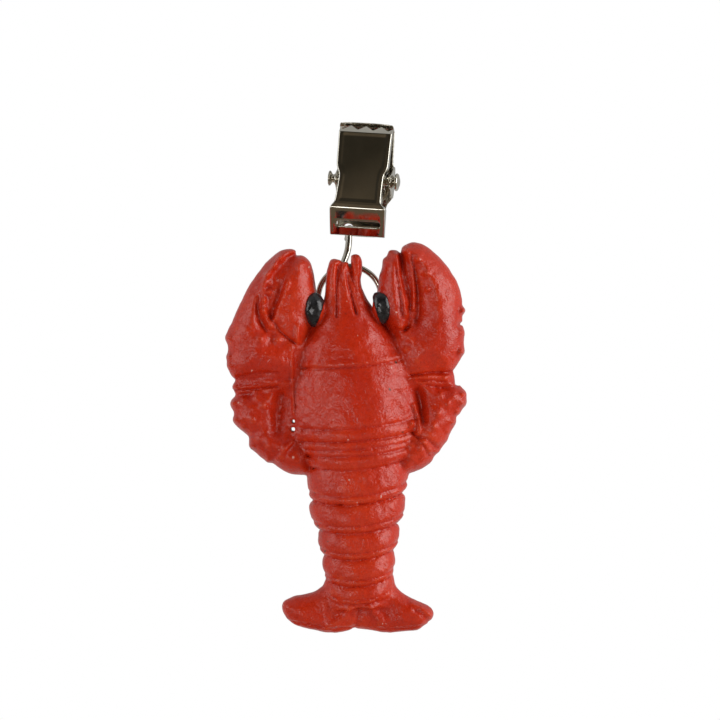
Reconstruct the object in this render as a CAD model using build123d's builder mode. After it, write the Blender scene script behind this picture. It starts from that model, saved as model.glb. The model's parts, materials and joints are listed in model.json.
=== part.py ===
from build123d import *
import os

# Tablecloth weight: a cast resin lobster that hangs by a wire ring and a wire
# hook from a sprung sheet-metal clip.  Millimetres, +Z up, the lobster faces -Y.
# The origin is the middle of the clip's jaws, where a cloth edge is gripped.

os.makedirs("parts", exist_ok=True)

# ---- where things hang --------------------------------------------------
casting_x = -4.88        # the lobster's centre line, left of the jaws
tail_z = -88.99          # the tip of the tail fan
clip_lean = 6.5          # the clip leans over the plumb lobster, degrees
clip_yaw = -10.0         # and is turned a little about its own length
jaw_above_pin = 9.55
pin_x = -1.081
pin_z = -9.489

# ---- clip, measured from the pin: u across, v back, w along ---------------
sheet = 0.5
face_half = 5.25         # widest reach of the front lever, at its handle
back_half = 5.05         # outer faces of the back lever's two ears
handle_w = -10.2         # end of the front handle; the back one is shorter
pin_r = 0.85
pin_hole_r = 0.92
slot_length = 8.0
slot_height = 1.35
back_handle_w = -9.85
back_slot_u = -2.8
back_slot_w = -8.44
back_slot_length = 2.6
back_slot_height = 1.77
ear_r = 1.65

# ---- spring, hook, ring, eyelet --------------------------------------------
spring_wire_r = 0.27
coil_r = 1.72
coil_pitch = 0.98
coil_turns = 5.444       # the front leg leaves 20 degrees short of the half turn
spring_leg = 4.3
hook_wire_r = 0.58
hook_bend_r = 1.23
ring_wire_r = 0.525
ring_r = 5.575
ring_x = casting_x + 0.4
ring_y = 1.7
ring_z = tail_z + 58.9
eyelet_wire_r = 0.45

# ---- lobster casting -------------------------------------------------------
back_y = 3.2             # flat back of body and tail
head_back_y = 0.6        # the head and the claws are thinner at the back
head_step_z = 50.4       # above the tail tip

# planes through the pin: level across the clip, its front view and side view
clip_place = Location((pin_x, 0, pin_z), (0, clip_lean, clip_yaw))
clip_level = Plane(clip_place)
clip_front = Plane(clip_level.origin, x_dir=clip_level.x_dir, z_dir=-clip_level.y_dir)
clip_side = Plane(clip_level.origin, x_dir=clip_level.y_dir, z_dir=clip_level.x_dir)

# ============================ clip, front lever ==============================
# outline seen from the front: nipped in at the pin, sitting left of the pin's middle
front_outline = [
    (4.5, 9.75),
    (4.75, 9.1),
    (4.65, 2.3),
    (4.0, 0.9),
    (3.9, -3.9),
    (4.85, -5.0),
    (4.45, -9.6),
    (4.2, handle_w),
    (-5.0, handle_w),
    (-face_half, -9.6),
    (-5.15, -5.1),
    (-4.2, -4.0),
    (-3.9, 0.9),
    (-4.65, 2.3),
    (-4.8, 9.1),
    (-4.55, 9.75),
]

# the pressed sheet seen from the side: jaw lip, face, step, curled handle end
front_line = [
    (-0.05, 9.45),
    (-1.0, 9.5),
    (-1.75, 8.6),
    (-3.15, 1.5),
    (-4.2, -4.7),
    (-3.85, -5.2),
    (-4.0, -5.7),
    (-1.05, handle_w + 0.25),
]

with BuildPart() as front_sheet:
    with BuildSketch(clip_side):
        with BuildLine():
            front_path = FilletPolyline(*front_line, radius=0.35)
        trace(line_width=sheet)
    extrude(amount=face_half + 0.5, both=True)
    with BuildSketch(clip_front):
        with BuildLine():
            Polyline(*front_outline, close=True)
        make_face()
    extrude(amount=12, both=True, mode=Mode.INTERSECT)
    # wide slot through the curled end of the handle
    with BuildSketch(clip_front):
        with Locations((-0.45, -7.85)):
            SlotOverall(slot_length, slot_height)
    extrude(amount=8, mode=Mode.SUBTRACT)
    # saw teeth along the lip
    with BuildSketch(clip_level.offset(9.0)):
        with Locations(*[(u, 0.25) for u in (-4.3, -2.15, 0, 2.15, 4.3)]):
            RegularPolygon(radius=0.75, side_count=4)
    extrude(amount=1.2, mode=Mode.SUBTRACT)

with BuildPart() as front_flanges:
    # flanges folded back along both sides, deepest round the pin
    with BuildSketch(clip_side):
        with BuildLine():
            Polyline(
                (-1.45, 9.2),
                (-0.7, 9.2),
                (-1.3, 4.6),
                (-1.5, 1.6),
                (-2.4, -3.2),
                (-2.5, -5.6),
                (-1.5, -7.5),
                (-0.4, -9.5),
                (-1.1, -9.9),
                (-2.8, -7.4),
                (-3.9, -5.6),
                (-3.9, -5.0),
                (-3.0, 1.5),
                (-1.7, 8.5),
                close=True,
            )
        make_face()
        with Locations((0, 0)):
            Circle(ear_r)
        with BuildLine():
            Polyline((-2.9, 1.6), (0, ear_r), (0, -ear_r), (-2.9, -2.6), close=True)
        make_face()
    extrude(amount=face_half + 0.5, both=True)
    with BuildSketch(clip_front):
        with BuildLine():
            Polyline(*front_outline, close=True)
        make_face()
    extrude(amount=12, both=True, mode=Mode.INTERSECT)
    with BuildSketch(clip_front):
        with BuildLine():
            Polyline(*front_outline, close=True)
        make_face()
        offset(amount=-sheet, mode=Mode.REPLACE)
    extrude(amount=12, both=True, mode=Mode.SUBTRACT)

with BuildPart() as clip_front_lever:
    add(front_sheet.part)
    add(front_flanges.part)
    with BuildSketch(clip_side):
        Circle(pin_hole_r)
    extrude(amount=7, both=True, mode=Mode.SUBTRACT)

# ============================ clip, back lever ===============================
back_line = [
    (0.25, 9.95),
    (1.1, 9.75),
    (1.55, 8.9),
    (2.3, 1.5),
    (2.5, -4.6),
    (3.8, back_handle_w),
]
back_outline = [
    (4.6, 10.4),
    (4.6, 3.2),
    (back_half, 2.6),
    (back_half, -2.6),
    (3.75, -4.2),
    (3.55, back_handle_w - 1),
    (-4.85, back_handle_w - 1),
    (-4.85, -4.2),
    (-back_half, -2.6),
    (-back_half, 2.6),
    (-5.25, 3.2),
    (-5.3, 10.4),
]

with BuildPart() as back_sheet:
    with BuildSketch(clip_side):
        with BuildLine():
            back_path = FilletPolyline(*back_line, radius=0.35)
        trace(line_width=sheet)
    extrude(amount=back_half + 0.5, both=True)
    with BuildSketch(clip_front):
        with BuildLine():
            Polyline(*back_outline, close=True)
        make_face()
    extrude(amount=12, both=True, mode=Mode.INTERSECT)
    # slot that the hook passes through; the bar below it carries the hook
    with BuildSketch(clip_front):
        with Locations((back_slot_u, back_slot_w)):
            SlotOverall(back_slot_length, back_slot_height)
    extrude(amount=-8, mode=Mode.SUBTRACT)
    # saw teeth along the lip
    with BuildSketch(clip_level.offset(9.3)):
        with Locations(*[(u, -0.05) for u in (-3.2, -1.07, 1.07, 3.2)]):
            RegularPolygon(radius=0.75, side_count=4)
    extrude(amount=1.2, mode=Mode.SUBTRACT)

with BuildPart() as back_ears:
    with BuildSketch(clip_side):
        Circle(ear_r)
        with BuildLine():
            Polyline((0, ear_r), (2.3, 2.6), (2.4, -2.6), (0, -ear_r), close=True)
        make_face()
    extrude(amount=back_half, both=True)
    with BuildSketch(clip_side):
        Rectangle(12, 12)
    extrude(amount=back_half - 0.45, both=True, mode=Mode.SUBTRACT)

with BuildPart() as clip_back_lever:
    add(back_sheet.part)
    add(back_ears.part)
    with BuildSketch(clip_side):
        Circle(pin_r)
    extrude(amount=7, both=True, mode=Mode.SUBTRACT)

# ============================ pivot pin ======================================
with BuildPart() as pivot_pin:
    with BuildSketch(clip_level):
        with BuildLine():
            Polyline(
                (-6.3, 0),
                (-6.3, 1.3),
                (-5.8, 1.1),
                (-back_half, pin_r),
                (back_half, pin_r),
                (back_half, 1.55),
                (6.0, 1.5),
                (6.4, 0.95),
                (6.45, 0),
                close=True,
            )
        make_face()
    revolve(axis=Axis(clip_place.position, clip_level.x_dir))

# ============================ torsion spring =================================
# wound about its own Z first, legs running off the coil, then set round the pin
coil_length = coil_pitch * coil_turns
with BuildPart() as spring_blank:
    with BuildLine():
        coil = Helix(coil_pitch, coil_length, coil_r)
        back_leg = Line((coil @ 0) - (coil % 0) * spring_leg, coil @ 0)
        front_leg = Line(coil @ 1, (coil @ 1) + (coil % 1) * spring_leg)
    with BuildSketch(Plane(origin=back_leg @ 0, z_dir=back_leg % 0)):
        Circle(spring_wire_r)
    sweep()

with BuildPart() as torsion_spring:
    with Locations(clip_side.offset(-coil_length / 2).location):
        add(spring_blank.part)

# ============================ hook ==========================================
ring_top = Vector(casting_x - 0.75, ring_y, ring_z + ring_r - 0.12)
bar_mid = (clip_place * Location((-2.8, 3.735, back_handle_w + 0.26))).position
hook_rise = (bar_mid - ring_top).length
hook_up = (bar_mid - ring_top).normalized()
hook_normal = Vector(0, 1, 0).cross(hook_up).normalized()
hook_plane = Plane(origin=ring_top, x_dir=hook_up, z_dir=hook_normal)

with BuildPart() as wire_hook:
    with BuildLine(hook_plane):
        low_tip = Line((1.2, -hook_bend_r), (-0.12, -hook_bend_r))
        low_bend = CenterArc((-0.12, 0), hook_bend_r, 270, -180)
        shank = Line((-0.12, hook_bend_r), (hook_rise - 0.1, hook_bend_r))
        top_bend = CenterArc((hook_rise - 0.1, 0), hook_bend_r, 90, -180)
        top_tip = Line((hook_rise - 0.1, -hook_bend_r), (hook_rise - 1.4, -hook_bend_r))
    with BuildSketch(Plane(origin=low_tip @ 0, z_dir=low_tip % 0)):
        Circle(hook_wire_r)
    sweep()

# ============================ ring and eyelet ================================
with BuildPart() as hanging_ring:
    with Locations(Location((ring_x, ring_y, ring_z), (90, 0, 0))):
        Torus(ring_r, ring_wire_r)

eyelet_z = ring_z - ring_r - 0.35
eyelet_plane = Plane(origin=(ring_x, ring_y, eyelet_z), x_dir=(0, 1, 0), z_dir=(1, 0, 0))
with BuildPart() as cast_in_eyelet:
    with BuildLine(eyelet_plane):
        top_leg = Line((-5.0, 1.4), (0, 1.4))
        bend = CenterArc((0, 0), 1.4, 90, -180)
        low_leg = Line((0, -1.4), (-5.0, -1.4))
    with BuildSketch(Plane(origin=top_leg @ 0, z_dir=top_leg % 0)):
        Circle(eyelet_wire_r)
    sweep()

# ============================ eyes ==========================================
eyes = []
for name, side in (("left_eye", -1), ("right_eye", 1)):
    eye_centre = (casting_x + side * 5.6, -4.5, tail_z + 56.9)
    with BuildPart() as eye:
        with BuildSketch(Plane(origin=eye_centre, x_dir=(1, 0, 0), z_dir=(0, -1, 0))):
            Ellipse(1.5, 2.7)
            with Locations((-4, 0)):
                Rectangle(8, 8, mode=Mode.SUBTRACT)
        revolve(axis=Axis(eye_centre, (0, 0, 1)))
    eye.part.label = name
    eyes.append(eye.part)

# ============================ lobster casting ================================
# bottom, top, rim half width, belly half width, front-to-back half depth
abdomen = [
    (7.6, 11.0, 5.2, 5.7, 4.6),
    (9.6, 13.7, 5.5, 6.3, 5.2),
    (13.2, 18.4, 6.4, 7.4, 6.2),
    (17.8, 23.9, 7.6, 8.4, 7.2),
    (23.2, 29.4, 8.1, 8.9, 8.0),
]
# height, half width, half depth, centre depth of the head and back shell
carapace = [
    (28.6, 9.2, 8.8, 0.4),
    (31.0, 9.8, 9.3, 0.4),
    (42.0, 9.9, 9.5, 0.4),
    (48.0, 9.7, 9.2, 0.2),
    (53.0, 7.6, 7.6, -0.6),
    (57.5, 4.4, 5.2, -1.8),
    (61.0, 3.1, 3.2, -2.9),
    (63.2, 2.7, 2.2, -3.1),
]
# start x, z, end x, z, radius, depth of centre: fingers, palm, wrist, arm
claws = [
    (-16.6, 41.5, -13.2, 61.0, 6.1, -2.6),
    (-18.4, 50.0, -9.4, 68.2, 4.0, -2.4),
    (-11.2, 51.0, -7.6, 67.6, 2.6, -2.4),
    (-18.3, 50.5, -15.8, 33.5, 5.0, -1.2),
    (-19.3, 41.0, -10.5, 28.2, 4.3, -1.0),
    (-17.0, 35.4, -5.5, 28.9, 3.6, -0.8),
    (15.6, 41.5, 13.4, 61.0, 6.1, -2.6),
    (18.4, 48.0, 11.2, 69.0, 4.6, -2.4),
    (9.6, 50.0, 7.7, 67.4, 2.6, -2.4),
    (17.4, 50.5, 15.0, 33.0, 4.9, -1.2),
    (18.0, 41.0, 10.5, 28.0, 4.2, -1.0),
    (15.5, 35.4, 5.5, 28.4, 3.6, -0.8),
]
fan_outline = [
    (-5.6, 8.6),
    (-8.0, 6.9),
    (-12.6, 6.2),
    (-13.6, 4.7),
    (-12.4, 2.6),
    (-9.0, 1.2),
    (-3.6, 0.2),
    (0.0, 0.8),
    (4.0, 0.0),
    (9.6, 0.4),
    (12.4, 2.2),
    (12.3, 4.0),
    (8.4, 6.0),
    (5.6, 8.8),
]
casting_front = Plane(origin=(casting_x, 0, tail_z), z_dir=(0, -1, 0), x_dir=(1, 0, 0))

with BuildPart() as lobster_casting:
    for low, high, rim, belly, depth in abdomen:
        for height, half, thick in (
            (low, rim, depth - 0.6),
            ((low + high) / 2, belly, depth),
            (high, rim, depth - 0.6),
        ):
            with BuildSketch(Plane(origin=(casting_x, 0.4, tail_z + height))):
                Ellipse(half, thick)
        loft()
    for height, half, thick, middle in carapace:
        with BuildSketch(Plane(origin=(casting_x, middle, tail_z + height))):
            Ellipse(half, thick)
    loft()
    # tail fan, thick at the root
    with BuildSketch(casting_front.offset(-back_y)):
        with BuildLine():
            Polyline(*fan_outline, (5.0, 11.0), (-5.0, 11.0), close=True)
        make_face()
    extrude(amount=back_y + 2.0)
    # claws, wrists and arms
    for x0, z0, x1, z1, radius, middle in claws:
        start = Vector(casting_x + x0, middle, tail_z + z0)
        end = Vector(casting_x + x1, middle, tail_z + z1)
        half_length = (end - start).length / 2
        with BuildSketch(Plane(origin=(start + end) / 2, x_dir=end - start, z_dir=(0, -1, 0))):
            Ellipse(half_length, radius)
            with Locations((0, -radius)):
                Rectangle(2 * half_length, 2 * radius, mode=Mode.SUBTRACT)
        revolve(axis=Axis((start + end) / 2, end - start))
    # two broken feeler stubs at the nose
    for x, top, lean in ((-2.1, 65.5, -6), (1.5, 66.0, 4)):
        with Locations(Location((casting_x + x, -2.6, tail_z + top - 4.5), (4, lean, 0))):
            Cylinder(1.05, 9.0)
    # flat back, stepped forward behind the head and the claws
    with Locations((casting_x, back_y + 10, tail_z + 35)):
        Box(60, 20, 90, mode=Mode.SUBTRACT)
    with Locations((casting_x, head_back_y + 10, tail_z + head_step_z + 20)):
        Box(60, 20, 40, mode=Mode.SUBTRACT)
    add(cast_in_eyelet.part, mode=Mode.SUBTRACT)
    add(eyes[0], mode=Mode.SUBTRACT)
    add(eyes[1], mode=Mode.SUBTRACT)

# ============================ export ========================================
lobster_casting.part.label = "lobster_casting"
cast_in_eyelet.part.label = "cast_in_eyelet"
hanging_ring.part.label = "hanging_ring"
wire_hook.part.label = "wire_hook"
clip_front_lever.part.label = "clip_front_lever"
clip_back_lever.part.label = "clip_back_lever"
pivot_pin.part.label = "pivot_pin"
torsion_spring.part.label = "torsion_spring"
for piece in (
    lobster_casting.part,
    cast_in_eyelet.part,
    hanging_ring.part,
    wire_hook.part,
    clip_front_lever.part,
    clip_back_lever.part,
    pivot_pin.part,
    torsion_spring.part,
    eyes[0],
    eyes[1],
):
    export_step(piece, "parts/" + piece.label + ".step")
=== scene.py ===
"""Lobster tablecloth weight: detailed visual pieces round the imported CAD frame.

Sizes inside the sculpting code are millimetres in the casting's own axes: x to
the viewer's right of its centre line, y to the back, z up from the tail's tip.
The scales of noise in the materials are features per metre.
"""
import json
import math

import bpy
import numpy as np
import openvdb
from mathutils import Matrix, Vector


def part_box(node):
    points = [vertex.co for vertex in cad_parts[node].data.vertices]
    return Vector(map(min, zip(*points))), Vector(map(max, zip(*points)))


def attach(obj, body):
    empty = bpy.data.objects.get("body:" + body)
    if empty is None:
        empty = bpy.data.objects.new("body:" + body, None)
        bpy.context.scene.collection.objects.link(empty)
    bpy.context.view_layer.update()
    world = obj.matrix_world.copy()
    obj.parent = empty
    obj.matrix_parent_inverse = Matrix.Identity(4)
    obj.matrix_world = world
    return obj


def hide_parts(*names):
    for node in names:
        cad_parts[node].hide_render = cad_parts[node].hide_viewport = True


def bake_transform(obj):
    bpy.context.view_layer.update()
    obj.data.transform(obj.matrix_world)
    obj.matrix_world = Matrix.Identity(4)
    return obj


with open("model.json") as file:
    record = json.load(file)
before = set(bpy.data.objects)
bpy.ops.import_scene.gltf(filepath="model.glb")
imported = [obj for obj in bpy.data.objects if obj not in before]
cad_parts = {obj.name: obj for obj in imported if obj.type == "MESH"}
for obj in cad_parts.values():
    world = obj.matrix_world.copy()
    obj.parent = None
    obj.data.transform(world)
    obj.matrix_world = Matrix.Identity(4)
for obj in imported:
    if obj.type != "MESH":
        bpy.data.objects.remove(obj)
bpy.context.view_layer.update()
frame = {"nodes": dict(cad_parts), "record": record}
MM = 0.001

ring_low, ring_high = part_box("hanging_ring")
RING_ASIDE = 0.0004  # ring's place right of the centre line, m
CAST_X = (ring_low[0] + ring_high[0]) / 2 - RING_ASIDE  # the casting's centre line, m
CAST_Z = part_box("lobster_casting")[0][2]  # the tip of its tail, m
BACK_Y = 3.2  # flat back, mm
HEAD_BACK_Y = 0.6  # back of head and claws, mm


# ======== materials ========
def new_material(name):
    mat = bpy.data.materials.new(name)
    mat.use_nodes = True
    nodes = mat.node_tree.nodes
    bsdf = nodes["Principled BSDF"]
    coords = nodes.new("ShaderNodeTexCoord")
    return mat, mat.node_tree, bsdf, coords.outputs["Object"]


def noise(tree, vector, scale, detail=4.0, roughness=0.55, distortion=0.0):
    node = tree.nodes.new("ShaderNodeTexNoise")
    node.inputs["Scale"].default_value = scale
    node.inputs["Detail"].default_value = detail
    node.inputs["Roughness"].default_value = roughness
    node.inputs["Distortion"].default_value = distortion
    tree.links.new(vector, node.inputs["Vector"])
    return node.outputs["Fac"]


def ramp(tree, value, stops):
    node = tree.nodes.new("ShaderNodeValToRGB")
    elements = node.color_ramp.elements
    while len(elements) < len(stops):
        elements.new(0.5)
    for element, (place, colour) in zip(elements, stops):
        element.position = place
        element.color = (*colour, 1.0)
    tree.links.new(value, node.inputs["Fac"])
    return node.outputs["Color"]


def grey(level):
    return (level,) * 3


def mix(tree, factor, first, second, blend="MIX"):
    node = tree.nodes.new("ShaderNodeMix")
    node.data_type = "RGBA"
    node.blend_type = blend
    for socket, value in ((node.inputs[0], factor), (node.inputs[6], first), (node.inputs[7], second)):
        if isinstance(value, tuple):
            socket.default_value = (*value, 1.0)
        elif isinstance(value, (int, float)):
            socket.default_value = value
        else:
            tree.links.new(value, socket)
    return node.outputs[2]


def bump(tree, height, strength, distance, below=None):
    node = tree.nodes.new("ShaderNodeBump")
    node.inputs["Strength"].default_value = strength
    node.inputs["Distance"].default_value = distance
    tree.links.new(height, node.inputs["Height"])
    if below is not None:
        tree.links.new(below, node.inputs["Normal"])
    return node.outputs["Normal"]


DEEP_RED, MID_RED, BRIGHT_RED = (0.50, 0.016, 0.002), (0.58, 0.024, 0.004), (0.64, 0.036, 0.008)
DIRT_BROWN, PRICK_PINK = (0.09, 0.030, 0.018), (0.70, 0.30, 0.24)


def resin_material():
    """Red cast resin: uneven colour, specks, painted shade in hollows and a painted highlight on crests, a
    wrinkled satin skin.
    """
    mat, tree, bsdf, place = new_material("red_cast_resin")
    broad = noise(tree, place, 110.0, 3.0)
    colour = ramp(tree, broad, [(0.30, DEEP_RED), (0.55, MID_RED), (0.75, BRIGHT_RED)])
    fine = noise(tree, place, 1700.0, 2.0, 0.6)
    mottle = ramp(tree, fine, [(0.35, (0.84, 0.72, 0.70)), (0.62, grey(1.0))])
    colour = mix(tree, 0.6, colour, mottle, "MULTIPLY")
    # sparse dark specks of dirt and a few pale pin pricks
    dirt = noise(tree, place, 460.0, 2.0, 0.5)
    dirt_mask = ramp(tree, dirt, [(0.73, grey(0.0)), (0.77, grey(1.0))])
    colour = mix(tree, dirt_mask, colour, DIRT_BROWN)
    pale = noise(tree, place, 1100.0, 1.0, 0.5, 0.3)
    pale_mask = ramp(tree, pale, [(0.77, grey(0.0)), (0.80, grey(1.0))])
    colour = mix(tree, pale_mask, colour, PRICK_PINK)
    # painted shade: hollows are a deeper red; painted highlight: crests are a little paler and pinker
    geometry = tree.nodes.new("ShaderNodeNewGeometry")
    hollow_shade_crest_highlight = ramp(tree, geometry.outputs["Pointiness"],
                  [(0.42, (0.72, 0.42, 0.35)), (0.49, grey(1.0)), (0.57, (1.10, 1.9, 2.2))])
    colour = mix(tree, 0.85, colour, hollow_shade_crest_highlight, "MULTIPLY")
    tree.links.new(colour, bsdf.inputs["Base Color"])
    gloss = noise(tree, place, 800.0, 3.0)
    rough = ramp(tree, gloss, [(0.3, grey(0.24)), (0.7, grey(0.36))])
    tree.links.new(rough, bsdf.inputs["Roughness"])
    # wrinkled cast skin: soft lumps, long crinkles, fine grain
    lumps = noise(tree, place, 420.0, 1.0, 0.5, 0.6)
    crinkle = noise(tree, place, 1350.0, 1.0, 0.5, 1.6)
    grain = noise(tree, place, 2800.0, 0.0, 0.5)
    skin_bump = bump(tree, lumps, 0.50, 0.00040)
    skin_bump = bump(tree, crinkle, 0.45, 0.00022, skin_bump)
    skin_bump = bump(tree, grain, 0.50, 0.00005, skin_bump)
    tree.links.new(skin_bump, bsdf.inputs["Normal"])
    bsdf.inputs["Specular IOR Level"].default_value = 0.42
    return mat


def enamel_material():
    """Brushed-on gloss black paint, a little lumpy."""
    mat, tree, bsdf, place = new_material("black_eye_enamel")
    streak = noise(tree, place, 900.0, 3.0)
    colour = ramp(tree, streak, [(0.35, (0.006, 0.006, 0.007)), (0.8, (0.03, 0.03, 0.032))])
    tree.links.new(colour, bsdf.inputs["Base Color"])
    rough = ramp(tree, streak, [(0.3, grey(0.14)), (0.7, grey(0.30))])
    tree.links.new(rough, bsdf.inputs["Roughness"])
    lumps = noise(tree, place, 800.0, 2.0)
    tree.links.new(bump(tree, lumps, 0.35, 0.0001), bsdf.inputs["Normal"])
    return mat


def metal_material(name, colour, rough_low, rough_high, grain):
    """Nickel plate with faint clouds and fine scratches; grain stretches them along an axis."""
    mat, tree, bsdf, place = new_material(name)
    bsdf.inputs["Metallic"].default_value = 1.0
    cloud = noise(tree, place, 260.0, 3.0)
    darker = tuple(c * 0.86 for c in colour)
    tree.links.new(ramp(tree, cloud, [(0.3, darker), (0.7, colour)]), bsdf.inputs["Base Color"])
    mapping = tree.nodes.new("ShaderNodeMapping")
    mapping.inputs["Scale"].default_value = grain
    tree.links.new(place, mapping.inputs["Vector"])
    scratch = noise(tree, mapping.outputs["Vector"], 600.0, 4.0, 0.7)
    rough = ramp(tree, scratch, [(0.35, grey(rough_low)), (0.75, grey(rough_high))])
    tree.links.new(rough, bsdf.inputs["Roughness"])
    tree.links.new(bump(tree, scratch, 0.10, 0.00002), bsdf.inputs["Normal"])
    return mat


RESIN = resin_material()
ENAMEL = enamel_material()
SHEET_METAL = metal_material("nickel_plated_sheet", (0.62, 0.59, 0.51), 0.06, 0.17, (1.0, 1.0, 0.25))
WIRE_METAL = metal_material("nickel_plated_wire", (0.60, 0.56, 0.48), 0.12, 0.26, (0.4, 0.4, 0.4))
OUTSIDE = 5.0  # field value far from a form, mm
FALLOFF = 1.6  # how fast a relief mark fades from its middle


# ======== sculpting tools ========
class Grid:
    """A block of cells that a sculpted form is sampled on, in millimetres."""

    def __init__(self, low, high, cell):
        self.low, self.cell = np.array(low), cell
        self.x, self.y, self.z = (np.arange(a, b, cell, dtype=np.float32) for a, b in zip(low, high))
        self.xx, self.zz = np.meshgrid(self.x, self.z, indexing="ij")  # front-view maps
        self.side_y, self.side_z = np.meshgrid(self.y, self.z, indexing="ij")  # side-view maps
        self.yy = self.y[None, :, None]


def sample_on(grid):
    """Make this the grid that the front-view maps and the forms are worked out on."""
    global XX, YY, ZZ
    XX, YY, ZZ = grid.xx, grid.yy, grid.zz


def smooth_union(a, b, k):
    """Either form, with a fillet about k wide where they meet."""
    h = np.maximum(k - np.abs(a - b), 0.0) / k
    return np.minimum(a, b) - h * h * k * 0.25


def smooth_cut(a, b, k):
    """Only what is in both forms, with the edge between them eased over k."""
    h = np.maximum(k - np.abs(a - b), 0.0) / k
    return np.maximum(a, b) + h * h * k * 0.25


def rounded(points, rounds=2):
    """Corner-cutting: a smooth closed outline through a few control points."""
    line = np.array(points, dtype=np.float64)
    for _ in range(rounds):
        after = np.roll(line, -1, axis=0)
        line = np.stack([0.75 * line + 0.25 * after, 0.25 * line + 0.75 * after], 1).reshape(-1, 2)
    return line


def inside_distance(points, rounds=2, across=None, along=None):
    """Map of the distance inside a closed outline, negative outside: the front view if not told."""
    across = XX if across is None else across
    along = ZZ if along is None else along
    line = rounded(points, rounds)
    best = np.full(across.shape, 1e9)
    within = np.zeros(across.shape, bool)
    for (x0, z0), (x1, z1) in zip(line, np.roll(line, -1, axis=0)):
        ex, ez = x1 - x0, z1 - z0
        px, pz = across - x0, along - z0
        t = np.clip((px * ex + pz * ez) / (ex * ex + ez * ez + 1e-12), 0, 1)
        best = np.minimum(best, (px - t * ex) ** 2 + (pz - t * ez) ** 2)
        crosses = (z0 > along) != (z1 > along)
        if abs(ez) > 1e-9:
            within ^= crosses & (across < x0 + (along - z0) * ex / ez)
    return np.where(within, 1.0, -1.0) * np.sqrt(best)


def pillow(points, middle, thick, edge, rounds=2):
    """A cushion-edged slab: outline in front view, its mid-depth, half thickness, edge radius."""
    inset = inside_distance(points, rounds)
    side = np.maximum(edge - inset, 0.0) / edge
    depth = np.abs(YY - middle) / thick
    q = np.sqrt((side * side)[:, None, :] + depth * depth)
    return ((q - 1.0) * min(edge, thick)).astype(np.float32)


def near(x, z, radius):
    """Soft round spot in the front view, 1 at its centre."""
    r2 = ((XX - x) ** 2 + (ZZ - z) ** 2) / (radius * radius)
    return np.exp(-FALLOFF * r2)


def stroke(points, width, ends=None):
    """Soft line in the front view; ends scales its strength from first to last point."""
    best = np.full(XX.shape, 1e9)
    strength = np.zeros(XX.shape)
    count = len(points) - 1
    for i, ((x0, z0), (x1, z1)) in enumerate(zip(points[:-1], points[1:])):
        ex, ez = x1 - x0, z1 - z0
        px, pz = XX - x0, ZZ - z0
        t = np.clip((px * ex + pz * ez) / (ex * ex + ez * ez + 1e-12), 0, 1)
        d2 = (px - t * ex) ** 2 + (pz - t * ez) ** 2
        s = 1.0 if ends is None else ends[0] + (ends[1] - ends[0]) * (i + t) / count
        strength = np.where(d2 < best, s, strength)
        best = np.minimum(best, d2)
    return strength * np.exp(-FALLOFF * best / (width * width))


def ball(x, y, z, rx, ry, rz):
    """An ellipsoid by its middle and its three half axes."""
    px, py, pz = (XX - x)[:, None, :], YY - y, (ZZ - z)[:, None, :]
    k0 = np.sqrt((px / rx) ** 2 + (py / ry) ** 2 + (pz / rz) ** 2)
    k1 = np.sqrt((px / rx**2) ** 2 + (py / ry**2) ** 2 + (pz / rz**2) ** 2) + 1e-6
    return (k0 * (k0 - 1.0) / k1).astype(np.float32)


def value_noise(seed, cell_mm):
    """Smooth random front-view map, about -1 to 1, with features cell_mm across."""
    rng = np.random.default_rng(seed)
    nx, nz = int(50 / cell_mm) + 4, int(76 / cell_mm) + 4
    grid = rng.uniform(-1, 1, (nx, nz))
    fx, fz = (XX - XX[0, 0]) / cell_mm, (ZZ - ZZ[0, 0]) / cell_mm
    ix, iz = np.floor(fx).astype(int), np.floor(fz).astype(int)
    tx, tz = fx - ix, fz - iz
    tx, tz = tx * tx * (3 - 2 * tx), tz * tz * (3 - 2 * tz)
    top = grid[ix, iz] * (1 - tx) + grid[ix + 1, iz] * tx
    low = grid[ix, iz + 1] * (1 - tx) + grid[ix + 1, iz + 1] * tx
    return top * (1 - tz) + low * tz


def to_row(points):
    """Casting millimetres to row metres."""
    out = np.array(points, dtype=np.float64) * MM
    out[:, 0] += CAST_X
    out[:, 2] += CAST_Z
    return out


def mesh_object(name, points, faces, material):
    """A smooth-shaded mesh in the scene."""
    mesh = bpy.data.meshes.new(name)
    mesh.from_pydata([tuple(p) for p in points], [], [tuple(int(i) for i in f) for f in faces])
    mesh.validate()
    mesh.update()
    mesh.polygons.foreach_set("use_smooth", [True] * len(mesh.polygons))
    mesh.materials.append(material)
    obj = bpy.data.objects.new(name, mesh)
    bpy.context.scene.collection.objects.link(obj)
    return obj


def main_shell(points, faces):
    """The biggest connected surface, without tiny bubbles left inside the field."""
    parent = list(range(len(points)))

    def root(i):
        while parent[i] != i:
            parent[i] = parent[parent[i]]
            i = parent[i]
        return i

    for face in faces:
        first = root(face[0])
        for corner in face[1:]:
            parent[root(corner)] = first
    label = np.array([root(i) for i in range(len(points))])
    kept = label == np.bincount(label).argmax()
    renumber = np.cumsum(kept) - 1
    faces = [tuple(int(renumber[i]) for i in face) for face in faces if kept[face[0]]]
    return points[kept], faces


def skin(name, field, grid, place, material):
    """The closed surface where a sculpted field is zero, as a mesh set in the row."""
    volume = openvdb.FloatGrid(OUTSIDE)
    volume.copyFromArray(np.ascontiguousarray(field, dtype=np.float32))
    points, triangles, quads = volume.convertToPolygons(isovalue=0.0)
    points = place(points * grid.cell + grid.low)
    faces = [tuple(f) for f in quads] + [tuple(f) for f in triangles]
    points, faces = main_shell(points, faces)
    return mesh_object(name, points, faces, material)


# ======== lobster sculpture ========
LOBSTER_CELL, EYE_CELL, LEVER_CELL = 0.28, 0.08, 0.09  # grid cells, mm
LOBSTER_GRID = Grid((-23.4, -10.6, -1.6), (22.2, 4.3, 70.0), LOBSTER_CELL)
sample_on(LOBSTER_GRID)

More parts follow.
